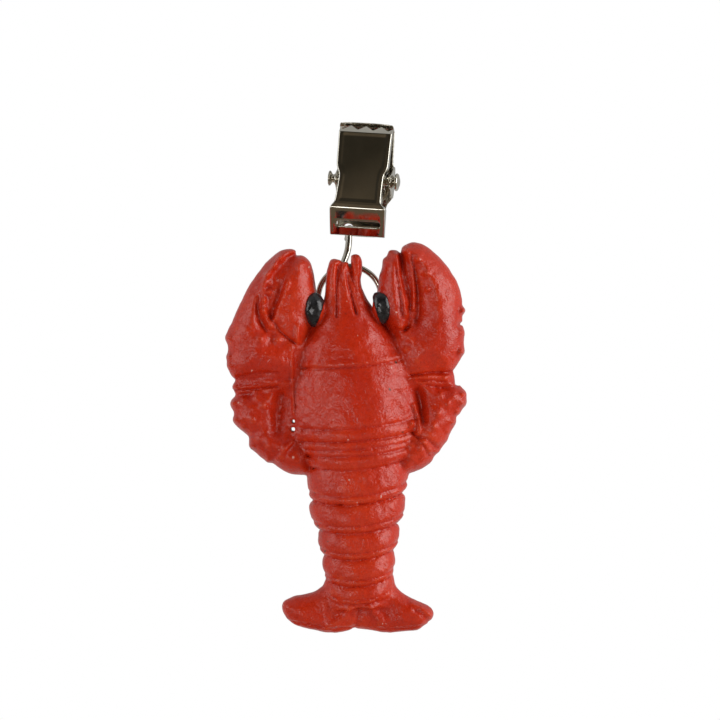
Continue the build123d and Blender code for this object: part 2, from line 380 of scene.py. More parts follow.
SHELL_FOOT = 28.75  # the tail's rings end and the shell begins
NOSE_CAP = 64.2  # top of the body's own form
BODY_FOOT = 4.4  # where the body's own form ends in the fan
BODY_POWER = 2.25  # 2 is an ellipse in section, more is squarer


def band_height():
    """Height along the body, following the way its rings sag in the middle."""
    half = np.interp(ZZ, [5, 12, 16, 21, 26, 32, 60], [6.0, 6.6, 7.5, 8.7, 9.4, 10.2, 10.4])
    sag = np.interp(ZZ, [5, 28, 34, 44, 48], [2.3, 2.3, 1.0, 1.3, 1.5])
    reach = np.clip(np.abs(XX) / half, 0, 0.97)
    return ZZ - sag * (1.0 - np.sqrt(1.0 - reach * reach)) - 0.03 * XX


def ring_profile(s, notch, taper):
    """Offset of one tail ring, s running 0 at its top to 1 at its lower rim."""
    rise = 1.0 - np.clip(s / 0.36, 0, 1)
    top = -notch * (1.0 - np.sqrt(np.clip(1.0 - rise * rise, 0, 1)))
    belly = -taper * np.clip((s - 0.45) / 0.55, 0, 1) ** 2
    groove = -0.26 * np.exp(-(((s - 0.77) / 0.045) ** 2))
    rim = 0.12 * np.exp(-(((s - 0.87) / 0.06) ** 2))
    lip = -0.40 * np.clip((s - 0.94) / 0.06, 0, 1) ** 2
    return top + belly + groove + rim + lip


TAIL_RINGS = [
    # top, bottom, half width, centre, front-to-back half depth, notch, taper
    (SHELL_FOOT, 22.75, 8.95, 0.42, 8.3, 0.25, 0.50),
    (22.75, 17.60, 8.45, 0.22, 7.6, 0.95, 1.00),
    (17.60, 12.95, 7.25, 0.20, 6.7, 0.55, 0.80),
    (12.95, 8.20, 6.35, 0.02, 5.8, 0.50, 0.85),
    (8.20, 5.05, 5.70, 0.05, 5.0, 0.40, 0.30),
]

SHELL = [
    # height, half width, centre, half depth, mid depth
    (27.0, 8.9, 0.60, 8.5, 0.4),
    (28.9, 9.1, 0.65, 8.8, 0.4),
    (31.0, 9.5, 0.60, 9.1, 0.4),
    (34.0, 10.0, 0.35, 9.3, 0.4),
    (42.0, 10.15, 0.42, 9.4, 0.4),
    (46.4, 10.0, 0.40, 9.3, 0.4),
    (48.6, 9.2, 0.05, 8.8, 0.2),
    (51.2, 8.3, -0.25, 7.9, -0.2),
    (53.5, 6.9, -0.05, 7.0, -0.5),
    (55.2, 5.7, 0.0, 6.2, -0.9),
    (56.7, 4.7, 0.0, 5.4, -1.3),
    (58.5, 3.8, -0.3, 4.2, -1.8),
    (60.3, 3.2, -0.5, 3.2, -2.3),
    (62.0, 2.8, -0.6, 2.4, -2.7),
    (63.6, 2.2, -0.4, 1.6, -2.9),
]


SHELL_GROOVES = [
    # height, relief, half width
    (46.6, -0.34, 0.20), (47.4, 0.16, 0.55), (36.0, -0.26, 0.20), (35.0, 0.12, 0.45),
    (33.75, -0.48, 0.26), (32.25, -0.26, 0.18), (31.1, -0.30, 0.22), (30.2, 0.14, 0.50),
]


def body_field():
    """Tail rings, shell and rostrum as one run of rounded sections."""
    zz = band_height()
    half = np.zeros_like(zz)
    deep = np.zeros_like(zz)
    centre = np.zeros_like(zz)
    middle = np.full_like(zz, 0.4)
    for top, bottom, width, shift, depth, notch, taper in TAIL_RINGS:
        here = (zz <= top) & (zz > bottom)
        if bottom == TAIL_RINGS[-1][1]:
            here = zz <= top
        s = np.clip((top - zz) / (top - bottom), 0, 1)
        offset = ring_profile(s, notch, taper)
        half = np.where(here, width + offset, half)
        deep = np.where(here, depth + offset, deep)
        centre = np.where(here, shift, centre)
    shell = zz > SHELL_FOOT
    grooves = np.zeros_like(zz)
    for height, relief, width in SHELL_GROOVES:
        grooves += relief * np.exp(-(((zz - height) / width) ** 2))
    grooves -= 0.70 * np.clip((29.5 - zz) / 0.75, 0, 1) ** 2
    # above the neck the rings' bow fades out
    bow_left = np.clip((54.0 - ZZ) / 5.0, 0, 1)
    zs = zz * bow_left + ZZ * (1 - bow_left)
    heights, widths, shifts, depths, middles = np.array(SHELL).T
    half = np.where(shell, np.interp(zs, heights, widths) + grooves, half)
    centre = np.where(shell, np.interp(zs, heights, shifts), centre)
    deep = np.where(shell, np.interp(zs, heights, depths) + grooves, deep)
    middle = np.where(shell, np.interp(zs, heights, middles), middle)
    half, deep = np.maximum(half, 0.4), np.maximum(deep, 0.4)
    px = (np.abs(XX - centre) / half)[:, None, :]
    py = np.abs(YY - middle[:, None, :]) / deep[:, None, :]
    q = (px**BODY_POWER + py**BODY_POWER) ** (1 / BODY_POWER)
    field = (q - 1.0) * (np.minimum(half, deep)[:, None, :]) * 0.95
    cap = (ZZ - NOSE_CAP)[:, None, :]
    foot = (BODY_FOOT - ZZ)[:, None, :]
    return np.maximum(np.maximum(field, cap), foot).astype(np.float32)


FAN = [
    (-5.9, 8.6), (-7.6, 7.5), (-10.0, 6.8), (-12.3, 6.4), (-13.7, 5.6), (-13.9, 4.2), (-13.1, 2.6),
    (-11.5, 1.5), (-8.2, 0.55), (-5.6, -0.05), (-4.0, -0.25), (-2.6, 0.05), (-1.3, 0.55), (0.4, 0.35),
    (2.6, -0.2), (4.4, -0.55), (7.9, -0.25), (10.0, -0.25), (10.9, 0.5), (12.4, 1.2), (13.0, 2.6),
    (12.5, 3.6), (11.3, 4.4), (9.4, 5.3), (7.5, 6.6), (6.2, 8.0), (5.7, 9.6), (5.4, 11.5), (-5.4, 11.5),
]

LEFT_PALM = [
    (-8.4, 67.2), (-9.0, 67.9), (-10.6, 68.0), (-12.7, 67.0), (-14.6, 65.1), (-16.6, 62.6),
    (-18.2, 60.2), (-19.6, 57.3), (-20.8, 54.8), (-21.6, 52.9), (-21.3, 50.6), (-21.7, 48.2),
    (-21.0, 46.2), (-19.8, 45.0), (-15.5, 44.4), (-11.0, 44.6), (-8.6, 46.0), (-8.4, 50.0),
    (-9.2, 52.2), (-12.0, 53.4), (-13.6, 55.6), (-13.8, 58.5), (-12.8, 61.5), (-11.0, 64.6),
    (-9.6, 66.6),
]
LEFT_FINGER = [
    (-8.2, 66.9), (-7.3, 66.7), (-6.4, 65.8), (-5.9, 64.4), (-5.5, 61.6), (-5.2, 58.0), (-6.0, 54.0),
    (-7.6, 51.6), (-9.4, 50.8), (-11.6, 52.4), (-13.6, 54.6), (-14.0, 56.6), (-12.6, 60.2),
    (-11.2, 63.4), (-9.8, 66.2),
]
LEFT_GAP = [
    (-9.0, 66.8), (-11.6, 66.0), (-15.0, 61.0), (-16.0, 56.0), (-14.0, 52.0), (-8.0, 49.0), (-7.6, 54.0),
    (-8.4, 60.0),
]
RIGHT_GAP = [
    (9.4, 66.8), (11.2, 66.6), (13.0, 61.0), (13.0, 56.0), (11.6, 51.0), (8.2, 49.0), (7.8, 54.0),
    (8.6, 60.0),
]
LEFT_WRIST = [
    (-19.6, 45.6), (-20.9, 44.2), (-20.7, 43.2), (-19.6, 42.2), (-12.0, 42.6), (-9.0, 43.6), (-9.2, 46.0),
]
LEFT_ARM = [
    (-19.6, 43.2), (-20.9, 42.2), (-21.4, 40.8), (-20.6, 39.4), (-21.0, 38.0), (-20.0, 36.8),
    (-19.1, 36.0), (-18.0, 35.0), (-18.5, 33.6), (-17.2, 32.2), (-15.6, 30.8), (-14.4, 30.6),
    (-13.2, 29.2), (-11.4, 28.2), (-9.0, 27.9), (-7.6, 28.6), (-7.6, 32.2), (-10.6, 34.2),
    (-13.0, 36.8), (-13.6, 40.0), (-12.4, 43.4),
]
LEFT_WEB = [
    (-13.0, 53.4), (-8.0, 54.0), (-7.6, 46.0), (-7.6, 29.6), (-12.0, 30.4), (-16.2, 36.0), (-15.0, 46.0),
]
RIGHT_PALM = [
    (9.3, 66.8), (10.2, 67.7), (11.6, 68.2), (13.2, 67.9), (14.6, 67.1), (16.0, 65.8), (17.4, 64.1),
    (18.6, 62.2), (19.6, 60.2), (20.0, 57.8), (20.0, 55.4), (20.2, 53.0), (20.2, 50.8), (19.8, 48.8),
    (19.3, 46.9), (17.8, 44.9), (13.6, 44.3), (9.6, 44.8), (8.4, 47.0), (8.6, 50.6), (10.0, 52.8),
    (11.4, 54.6), (11.8, 58.0), (11.2, 61.8), (10.2, 65.0),
]
RIGHT_FINGER = [
    (9.5, 66.6), (8.8, 67.0), (7.6, 67.0), (7.3, 65.9), (6.4, 65.4), (6.3, 63.8), (5.7, 62.2),
    (5.2, 59.4), (5.2, 56.4), (6.8, 53.2), (9.0, 51.4), (10.6, 52.4), (11.2, 55.0), (11.0, 58.6),
    (10.4, 62.4), (9.9, 65.4),
]
RIGHT_WRIST = [
    (17.2, 46.0), (18.2, 44.8), (18.3, 43.4), (19.4, 42.2), (13.0, 41.6), (8.8, 43.2), (8.8, 46.2),
]
RIGHT_ARM = [
    (18.6, 43.2), (19.6, 42.2), (20.3, 40.8), (20.2, 39.4), (19.2, 38.2), (18.2, 37.4), (18.2, 36.2),
    (17.6, 35.2), (16.9, 34.4), (16.8, 33.4), (15.7, 32.0), (14.2, 30.4), (13.9, 29.4), (12.0, 28.2),
    (9.4, 27.5), (7.4, 28.0), (7.4, 31.6), (9.6, 33.6), (11.8, 37.2), (12.6, 40.6), (11.4, 43.6),
]
RIGHT_WEB = [
    (12.6, 53.4), (8.0, 53.6), (7.8, 46.0), (7.8, 29.0), (12.0, 30.0), (15.4, 36.0), (14.4, 46.0),
]
LEFT_STUB = [
    (-2.9, 65.6), (-2.2, 65.9), (-1.4, 65.5), (-0.9, 65.6), (-0.9, 64.2), (-1.3, 60.0), (-1.7, 56.0),
    (-3.0, 55.0), (-4.8, 56.2), (-4.2, 58.4), (-3.8, 60.8), (-3.65, 63.2),
]
NOSE = [
    (-1.0, 65.0), (-0.1, 65.2), (0.5, 65.0), (0.55, 62.0), (0.9, 58.5), (1.4, 55.2), (0.0, 53.6),
    (-1.9, 54.4), (-1.5, 58.0), (-1.1, 62.0),
]
RIGHT_STUB = [
    (0.7, 65.9), (1.4, 66.4), (2.3, 66.3), (2.8, 65.4), (2.75, 63.6), (2.4, 62.2), (2.5, 60.6), (3.0, 59.0),
    (4.0, 57.2), (4.0, 55.2), (2.2, 54.0), (1.4, 56.6), (1.0, 60.0), (0.75, 63.0),
]


SLABS = [
    # outline, mid depth, half thickness, edge radius, fillet to what is there before it
    (FAN, 0.9, 2.9, 2.4, 0.9),
    # claws: palm with fixed finger, moving finger, wrist, arm, thin webs to the body
    (LEFT_PALM, -2.2, 5.0, 6.2, 0.7),
    (LEFT_FINGER, -2.2, 4.5, 4.2, 0.6),
    (LEFT_WRIST, -1.2, 4.4, 4.2, 0.7),
    (LEFT_ARM, -0.8, 4.4, 3.8, 0.8),
    (LEFT_GAP, -0.9, 5.0, 2.6, 1.6),
    (RIGHT_GAP, -0.9, 5.1, 2.6, 1.6),
    (LEFT_WEB, -0.4, 3.6, 1.8, 2.2),
    (RIGHT_PALM, -2.2, 5.1, 6.2, 0.7),
    (RIGHT_FINGER, -2.2, 4.6, 4.0, 0.6),
    (RIGHT_WRIST, -1.2, 4.3, 4.2, 0.7),
    (RIGHT_ARM, -0.8, 4.4, 3.8, 0.8),
    (RIGHT_WEB, -0.4, 3.7, 1.8, 2.2),
    # rostrum: two outer feeler stubs and the nose ridge between them
    (LEFT_STUB, -3.1, 2.4, 1.5, 0.30),
    (NOSE, -3.3, 2.4, 1.3, 0.30),
    (RIGHT_STUB, -3.0, 2.4, 1.4, 0.30),
]
EYE_BUMPS = ((-5.9, 57.0, 2.80), (6.0, 56.9, 2.70))  # x, z, half height
PIN_HOLES = ((-10.35, 37.6, 0.32), (-10.5, 36.2, 0.40))  # x, z, radius
HEAD_STEP = 50.3  # height where the back steps forward


def lobster_field():
    """The whole casting: body, fan, claws, feeler stubs, eye bumps, relief, flat back, pin holes."""
    field = body_field()
    for outline, middle, thick, edge, fillet in SLABS:
        field = smooth_union(field, pillow(outline, middle, thick, edge), fillet)
    for x, z, tall in EYE_BUMPS:
        field = smooth_union(field, ball(x, -4.6, z, 1.80, 1.80, tall), 0.5)
    field = field - surface_detail()[:, None, :]
    step = np.clip((ZZ - HEAD_STEP) / 0.35, 0, 1)
    back = BACK_Y + (HEAD_BACK_Y - BACK_Y) * step
    field = smooth_cut(field, (YY - back[:, None, :]).astype(np.float32), 0.35)
    for x, z, r in PIN_HOLES:
        hole = (r - np.sqrt((XX - x) ** 2 + (ZZ - z) ** 2))[:, None, :]
        field = np.maximum(field, hole.astype(np.float32) + 0 * YY)
    return field


# small knobs and teeth: x, z, radius, height
LEFT_BUMPS = [
    (-11.4, 66.2, 0.60, 0.45), (-12.6, 64.8, 0.60, 0.50), (-13.9, 63.4, 0.65, 0.60),
    (-13.5, 61.9, 0.50, 0.40), (-13.7, 60.4, 0.60, 0.65), (-14.5, 59.0, 0.55, 0.50),
    (-14.7, 57.2, 0.60, 0.45), (-12.9, 55.5, 0.60, 0.40), (-15.4, 52.2, 1.20, 0.85),
    (-12.4, 52.0, 0.95, 0.50), (-17.9, 53.9, 0.60, 0.25), (-16.6, 42.3, 1.20, 0.60),
    (-15.4, 40.6, 0.80, 0.50), (-17.5, 38.2, 0.70, 0.55), (-16.8, 34.8, 1.10, 0.50),
    (-12.2, 33.2, 0.80, 0.45), (-14.9, 33.4, 0.70, 0.30), (-21.2, 52.7, 0.75, 0.50),
    (-21.2, 49.4, 0.60, 0.45), (-21.2, 47.9, 0.60, 0.45), (-20.3, 46.2, 0.55, 0.45),
    (-20.4, 44.2, 0.60, 0.50), (-20.8, 41.2, 0.70, 0.60), (-20.5, 38.3, 0.65, 0.55),
    (-19.3, 36.9, 0.55, 0.40), (-17.9, 34.7, 0.60, 0.45), (-17.9, 33.6, 0.60, 0.45),
    (-15.0, 30.9, 0.70, 0.40), (-18.9, 41.9, 0.50, 0.30),
]
RIGHT_BUMPS = [
    (10.8, 66.9, 0.45, 0.45), (12.5, 65.0, 0.60, 0.55), (13.9, 62.5, 0.62, 0.75), (14.0, 59.7, 0.55, 0.65),
    (13.4, 55.6, 0.50, 0.35), (10.2, 55.3, 0.50, 0.40), (8.9, 53.2, 0.60, 0.35), (10.6, 51.2, 0.80, 0.30),
    (20.2, 55.8, 0.70, 0.85), (19.7, 51.9, 0.70, 0.40), (19.6, 48.6, 0.70, 0.85), (18.9, 44.6, 0.50, 0.40),
    (19.6, 41.2, 0.70, 0.60), (19.4, 39.6, 0.70, 0.55), (18.5, 37.9, 0.65, 0.50), (17.6, 36.3, 0.55, 0.45),
    (16.6, 34.6, 0.60, 0.40), (14.6, 31.4, 0.70, 0.40), (15.6, 41.2, 0.70, 0.40), (16.8, 39.4, 0.60, 0.30),
    (15.0, 37.9, 0.80, 0.45), (14.2, 35.6, 0.60, 0.30), (12.2, 33.2, 0.70, 0.40), (10.4, 36.4, 0.60, 0.35),
    (13.4, 31.4, 0.55, 0.30), (10.2, 32.4, 0.60, 0.30),
]
SPOTS = [
    # two hollows beside the right claw, the shell's corner behind the right eye
    (19.4, 53.4, 0.65, -0.55),
    (18.6, 42.9, 0.55, -0.60),
    (9.8, 49.4, 0.7, 0.45),
]
CARVED_LINES = [
    # relief, width, run of points, strength at its two ends where it changes
    # nose grooves, sharpest at their lower ends
    (-0.55, 0.36, [(-1.5, 64.6), (-1.75, 61.0), (-1.85, 57.4), (-2.0, 55.6)], (0.5, 1.1)),
    (-0.60, 0.34, [(-0.3, 64.6), (0.1, 62.2), (0.65, 59.3), (1.4, 56.0)], (0.3, 1.2)),
    (-0.35, 0.26, [(0.75, 65.8), (0.85, 63.0), (1.0, 61.0)], (1.0, 0.3)),
    (-0.25, 0.22, [(1.6, 66.2), (1.75, 64.0), (1.9, 62.0)], (1.0, 0.2)),
    # left claw: toothed ridge, valley between the fingers, shoulder, boss, folds
    (0.50, 0.62, [(-11.6, 66.5), (-12.6, 64.9), (-14.0, 63.2), (-14.6, 61.2), (-14.7, 58.8),
        (-14.6, 56.8), (-13.6, 54.4)]),
    (-0.55, 0.80, [(-10.0, 66.0), (-10.8, 63.1), (-11.7, 60.5), (-12.6, 58.1),
        (-13.3, 56.2)], (0.4, 0.9)),
    (0.30, 0.50, [(-10.2, 62.0), (-11.0, 59.6), (-11.9, 57.8), (-12.6, 56.0)]),
    (-0.35, 0.42, [(-13.2, 55.6), (-11.9, 53.4), (-10.4, 52.0), (-9.0, 51.0)], (0.7, 1.2)),
    (-0.30, 0.40, [(-15.9, 58.4), (-15.6, 55.6), (-14.6, 53.6)]),
    (0.30, 0.60, [(-19.8, 44.9), (-16.6, 44.9), (-13.4, 44.6)]),
    (-0.42, 0.24, [(-20.4, 43.5), (-16.6, 43.6), (-12.8, 43.9)]),
    (-0.26, 0.34, [(-19.9, 45.9), (-16.0, 46.4), (-12.6, 46.2)]),
    # hollow between the left arm and the shell, with a fine mould line beside the shell
    (-0.55, 1.5, [(-12.6, 42.0), (-13.2, 38.6), (-13.4, 36.0)]),
    (0.25, 0.26, [(-10.1, 50.4), (-10.25, 44.0), (-10.3, 39.0)]),
    (0.35, 0.40, [(-8.7, 54.4), (-9.0, 52.8), (-9.1, 51.0)]),
    (0.40, 0.45, [(-13.4, 31.0), (-12.0, 32.8), (-10.8, 34.0)]),
    # right claw: twin ridges, valley between the fingers, folds at the wrist
    (0.45, 0.34, [(8.9, 66.0), (9.15, 62.5), (9.8, 58.0), (10.1, 55.6)]),
    (0.45, 0.36, [(11.0, 66.2), (11.5, 63.0), (11.7, 60.2), (11.4, 56.4)]),
    (-0.55, 0.60, [(9.7, 66.8), (10.2, 63.6), (10.7, 60.4), (11.0, 57.4), (10.6, 54.6),
        (10.0, 52.8)], (0.4, 0.9)),
    (-0.30, 0.35, [(8.2, 53.2), (9.6, 52.6), (10.6, 53.4)]),
    (-0.34, 0.24, [(17.6, 45.0), (13.6, 45.1), (10.4, 44.8)]),
    (0.22, 0.30, [(17.2, 44.3), (13.6, 44.5), (11.0, 44.2)]),
    (-0.30, 0.22, [(17.6, 43.3), (14.4, 43.7), (11.6, 43.9)]),
    (-0.22, 0.22, [(16.8, 42.2), (14.6, 42.6), (13.0, 43.0)]),
    (-0.50, 0.95, [(11.6, 42.0), (12.2, 39.0), (12.4, 36.8)]),
    (0.30, 0.50, [(10.9, 39.6), (11.6, 37.0), (11.4, 34.6)]),
    (-0.35, 0.35, [(11.4, 34.0), (13.0, 33.4), (14.8, 31.6)]),
    (-0.30, 0.26, [(10.4, 34.8), (12.2, 32.4), (13.0, 30.6)]),
    # fold low on the shell's left
    (-0.25, 0.26, [(-8.2, 31.6), (-6.8, 30.4)]),
    # tail root fold and the fan's soft ribs
    (-0.30, 0.24, [(-4.6, 6.2), (-3.0, 5.5), (-0.5, 5.0), (2.0, 5.1), (4.2, 6.2)]),
    (0.40, 0.70, [(-2.0, 4.6), (-2.6, 3.0), (-4.6, 1.6), (-6.4, 1.0)]),
    (0.28, 0.90, [(1.6, 5.0), (2.4, 3.4), (3.4, 1.6)]),
    (0.30, 0.50, [(9.0, 4.6), (10.8, 3.8), (12.2, 2.6)]),
    (-0.25, 0.50, [(9.6, 3.4), (11.0, 2.4), (11.8, 1.4)]),
    (-0.30, 0.60, [(-0.2, 4.0), (-0.6, 2.4), (-1.2, 0.8)]),
    (-0.30, 0.24, [(-11.8, 2.3), (-8.0, 1.5), (-5.0, 0.8), (-2.0, 0.9)]),
    (-0.20, 0.24, [(3.0, 0.5), (7.0, 0.4), (10.4, 0.6)]),
]


def surface_detail():
    """Front-view relief in mm added to the forms: ridges, bumps and grooves."""
    relief = np.zeros(XX.shape)
    for height, width, points, *ends in CARVED_LINES:
        relief += height * stroke(points, width, *ends)
    for x, z, radius, height in LEFT_BUMPS + RIGHT_BUMPS + SPOTS:
        relief += height * near(x, z, radius)
    # hand-cut unevenness
    relief += 0.12 * value_noise(3, 4.0) + 0.08 * value_noise(5, 1.7) + 0.05 * value_noise(8, 0.75)
    return relief.astype(np.float32)


lobster = skin("lobster_sculpt", lobster_field(), LOBSTER_GRID, to_row, RESIN)
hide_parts("lobster_casting")
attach(lobster, "lobster")


# ======== painted eyes ========
EYE_Y, EYE_Z, EYE_ROOM = -4.7, 57.0, 0.5


def painted_eye(name, node, outline, middle):
    """A thick domed coat of black enamel over a moulded eye bump."""
    xs, zs = zip(*outline)
    grid = Grid((min(xs) - EYE_ROOM, -7.6, min(zs) - EYE_ROOM),
                (max(xs) + EYE_ROOM, -2.2, max(zs) + EYE_ROOM), EYE_CELL)
    sample_on(grid)
    field = pillow(outline, -4.8, 2.60, 0.45, 1)
    field = np.maximum(field, ball(middle, EYE_Y, EYE_Z, 2.75, 2.45, 3.9))
    field = smooth_cut(field, ball(middle, EYE_Y, EYE_Z, 2.05, 2.08, 3.08), 0.15)
    brush = 0.05 * value_noise(11, 0.9) + 0.03 * value_noise(12, 0.4)
    field = field - brush[:, None, :].astype(np.float32)
    eye = skin(name, field, grid, to_row, ENAMEL)
    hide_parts(node)
    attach(eye, "lobster")


LEFT_EYE = [
    (-6.4, 59.9), (-5.3, 60.1), (-4.00, 59.9), (-3.90, 58.9), (-4.25, 57.3), (-4.9, 55.6), (-5.8, 54.0),
    (-6.4, 53.8), (-7.3, 55.2), (-7.75, 57.2), (-7.5, 58.7),
]
RIGHT_EYE = [
    (4.40, 59.5), (5.6, 59.7), (6.8, 59.1), (7.5, 58.1), (7.70, 56.9), (7.4, 55.5), (6.6, 54.2), (6.0, 53.8),
    (5.2, 54.9), (4.70, 57.0), (4.40, 58.4),
]
painted_eye("left_eye_enamel", "left_eye", LEFT_EYE, -5.9)
painted_eye("right_eye_enamel", "right_eye", RIGHT_EYE, 6.0)


# ======== clip ========
# measured from the pin: x across, y back, z along the clip, in millimetres
PIN_PLACE = np.array([-1.081, 0.0, -9.489])
LEAN, YAW = math.radians(6.5), math.radians(-10.0)
LEAN_TURN = np.array([[math.cos(LEAN), 0, math.sin(LEAN)], [0, 1, 0], [-math.sin(LEAN), 0, math.cos(LEAN)]])
YAW_TURN = np.array([[math.cos(YAW), -math.sin(YAW), 0], [math.sin(YAW), math.cos(YAW), 0], [0, 0, 1]])
TURN = LEAN_TURN @ YAW_TURN
SHEET = 0.46  # thickness of the sheet
FRONT_HOLE, BACK_HOLE = 0.92, 0.80  # radii of the pin's holes
EAR = 1.62  # radius of the front lever's ears
BORDER = 0.75  # width of the plain border of the face
FLANGE_BEND = 0.26  # outside radius where the flanges turn back
LIP, TOOTH, TOOTH_PITCH = 8.74, 0.80, 2.695  # root height, height and spacing of the teeth
HANDLE_END = -9.95  # lower end of the front lever
LINE_STEP = 0.02  # spacing of points on a side-view line


def clip_to_row(points):
    """Clip millimetres to row metres."""
    return (np.array(points, dtype=np.float64) @ TURN.T + PIN_PLACE) * MM


def pressed_line(heights, depths, blur=0.22):
    """A side-view line of pressed sheet: depth at each height with softened corners, and its slope factor."""
    fine = np.arange(-12.0, 12.0, LINE_STEP)
    line = np.interp(fine, heights, depths)
    width = int(blur / LINE_STEP)
    kernel = np.hanning(2 * width + 1)
    line = np.convolve(np.pad(line, width, mode="edge"), kernel / kernel.sum(), mode="valid")
    slope = 1.0 / np.sqrt(1.0 + np.gradient(line, fine) ** 2)
    return np.interp(ZZ[0], fine, line)[None, :], np.interp(ZZ[0], fine, slope)[None, :]


FRONT_OUTLINE = [
    (4.75, 12.0), (4.75, 9.3), (4.72, 8.6), (4.65, 5.5), (4.65, 2.6), (4.5, 1.9), (4.05, 0.9), (3.98, 0.2),
    (3.9, -3.7), (4.1, -4.3), (4.75, -4.9), (4.85, -5.4), (4.5, -9.4), (4.4, -12.0), (-5.25, -12.0),
    (-5.2, -9.4), (-5.1, -5.5), (-4.95, -5.0), (-4.35, -4.3), (-4.2, -3.6), (-3.95, 0.2), (-4.0, 0.9),
    (-4.45, 1.9), (-4.6, 2.6), (-4.7, 5.5), (-4.78, 8.6), (-4.8, 9.3), (-4.8, 12.0),
]
BACK_OUTLINE = [
    (4.6, 9.6), (4.6, 3.6), (4.7, 2.9), (5.0, 2.4), (5.0, -2.4), (4.6, -3.2), (3.75, -4.2), (3.55, -9.2),
    (3.2, -9.85), (-4.5, -9.85), (-4.85, -9.2), (-4.85, -4.2), (-5.0, -2.6), (-5.0, 2.6), (-5.2, 3.6),
    (-5.25, 9.6),
    (-4.9, 10.15), (4.2, 10.15),
]


def rounded_slot(middle, height, length, gap):
    """Front-view distance outside a round-ended slot."""
    x0, x1 = middle - length / 2 + gap / 2, middle + length / 2 - gap / 2
    side = np.maximum(np.maximum(x0 - XX, XX - x1), 0.0)
    return np.hypot(side, ZZ - height) - gap / 2


def front_lever_field(grid):
    """Toothed face with side flanges, nipped neck, and a handle with a step, slot and curled end."""
    edge = inside_distance(FRONT_OUTLINE, 2)
    face, slope = pressed_line(
        [-10.6, -9.95, -8.60, -7.15, -5.72, -5.45, -5.15, -4.5, 8.35, 9.8],
        [-0.85, -1.40, -2.60, -2.98, -4.22, -4.42, -4.48, -4.44, -2.07, -0.25], 0.15)
    sides, side_slope = pressed_line([-10.6, -9.95, -5.5, -5.2, -4.5, 8.35, 9.8],
                                     [-0.85, -1.40, -4.38, -4.48, -4.44, -2.07, -0.25], 0.15)
    # the handle's middle is pressed in round its slot, its sides run straighter
    inner = np.clip((edge - BORDER) / 0.45, 0, 1)
    face = sides + (face - sides) * inner
    slope = side_slope + (slope - side_slope) * inner
    bow = np.clip(1 - ((ZZ - 2.0) / 6.3) ** 2, 0, 1) * np.clip(1 - (XX / 4.9) ** 2, 0, 1)
    face = face - 0.22 * bow
    # a shallow panel inside the face's border
    on_face = np.clip((ZZ + 4.1) / 0.5, 0, 1) * np.clip((8.2 - ZZ) / 0.6, 0, 1)
    face = face + 0.10 * np.clip((edge - BORDER) / 0.34, 0, 1) * on_face
    slot = rounded_slot(0.02, -7.85, 7.8, 0.96)
    behind = (YY - face[:, None, :]) * slope[:, None, :]
    side = edge[:, None, :] + 0 * YY
    corner = FLANGE_BEND - np.hypot(np.maximum(FLANGE_BEND - side, 0), np.maximum(FLANGE_BEND - behind, 0))
    in_corner = (side < FLANGE_BEND) & (behind < FLANGE_BEND)
    depth = np.where(in_corner, corner, np.minimum(side, behind))
    shell = np.abs(depth - SHEET / 2) - SHEET / 2
    # flanges end at a stepped rear edge and swell into an ear round the pin
    rear = np.interp(grid.z, [-10.4, -9.5, -7.5, -5.6, -3.2, -1.5, 1.6, 4.6, 8.4, 9.0, 9.3, 10.3],
                     [-0.05, -0.45, -1.5, -2.5, -2.4, -2.0, -1.5, -1.3, -0.8, -0.7, -0.2, 0.05])
    ear = np.hypot(grid.side_y, grid.side_z) - EAR
    rear = smooth_union(grid.side_y - rear[None, :], ear, 0.8)
    field = smooth_cut(shell, rear[None].astype(np.float32), 0.12)
    # saw teeth along the lip, the handle's end and its slot, the pin's hole
    saw = np.abs(((XX + 0.16) / TOOTH_PITCH) % 1.0 - 0.5) * 2.0
    top = (ZZ - (LIP + TOOTH * saw))[:, None, :] * 0.85
    bottom = (HANDLE_END - ZZ)[:, None, :]
    field = smooth_cut(smooth_cut(field, top, 0.10), bottom, 0.12)
    hole = FRONT_HOLE - np.hypot(grid.side_y, grid.side_z)
    field = np.maximum(field, hole[None])
    through = np.where(YY < -1.0, -slot[:, None, :], -9.0)
    return smooth_cut(field, through, 0.10).astype(np.float32)


def back_lever_field(grid):
    """Plain sheet behind the face, with side walls round the pin and a short slot for the hook."""
    edge = inside_distance(BACK_OUTLINE, 2)
    middle, slope = pressed_line([-9.85, -4.6, 1.5, 8.9, 9.5, 10.2], [3.80, 2.50, 2.30, 1.55, 0.72, 0.32])
    on_sheet = np.clip((8.0 - ZZ) / 0.4, 0, 1) * np.clip((ZZ + 5.6) / 0.4, 0, 1)
    dish = 0.16 * np.clip((edge - 1.0) / 0.4, 0, 1) * on_sheet
    sheet = np.abs((YY - (middle - dish)[:, None, :]) * slope[:, None, :]) - SHEET / 2
    field = smooth_cut(sheet, -edge[:, None, :] + 0 * YY, 0.15)
    # side walls that carry the pin, joined to the sheet by a bend
    wall = np.array([(0.0, 1.62), (-1.2, 1.1), (-1.65, 0.0), (-1.2, -1.1), (0.0, -1.62), (1.4, -2.6),
                     (2.6, -2.9), (2.6, 2.9), (1.4, 2.5)])
    shape = -inside_distance(wall, 2, grid.side_y, grid.side_z)[None]
    across = np.maximum(np.abs(XX) - 5.03, 4.60 - np.abs(XX))[:, None, :]
    field = smooth_union(field, smooth_cut(shape + 0 * across, across + 0 * YY, 0.12), 0.25)
    # narrow slot that the hook passes through, beside the left end of the bar
    slot = rounded_slot(-2.8, -8.42, 1.72, 1.46)
    field = smooth_cut(field, np.where(YY > 0.8, -slot[:, None, :], -9.0), 0.10)
    hole = BACK_HOLE - np.hypot(grid.side_y, grid.side_z)
    return np.maximum(field, hole[None]).astype(np.float32)


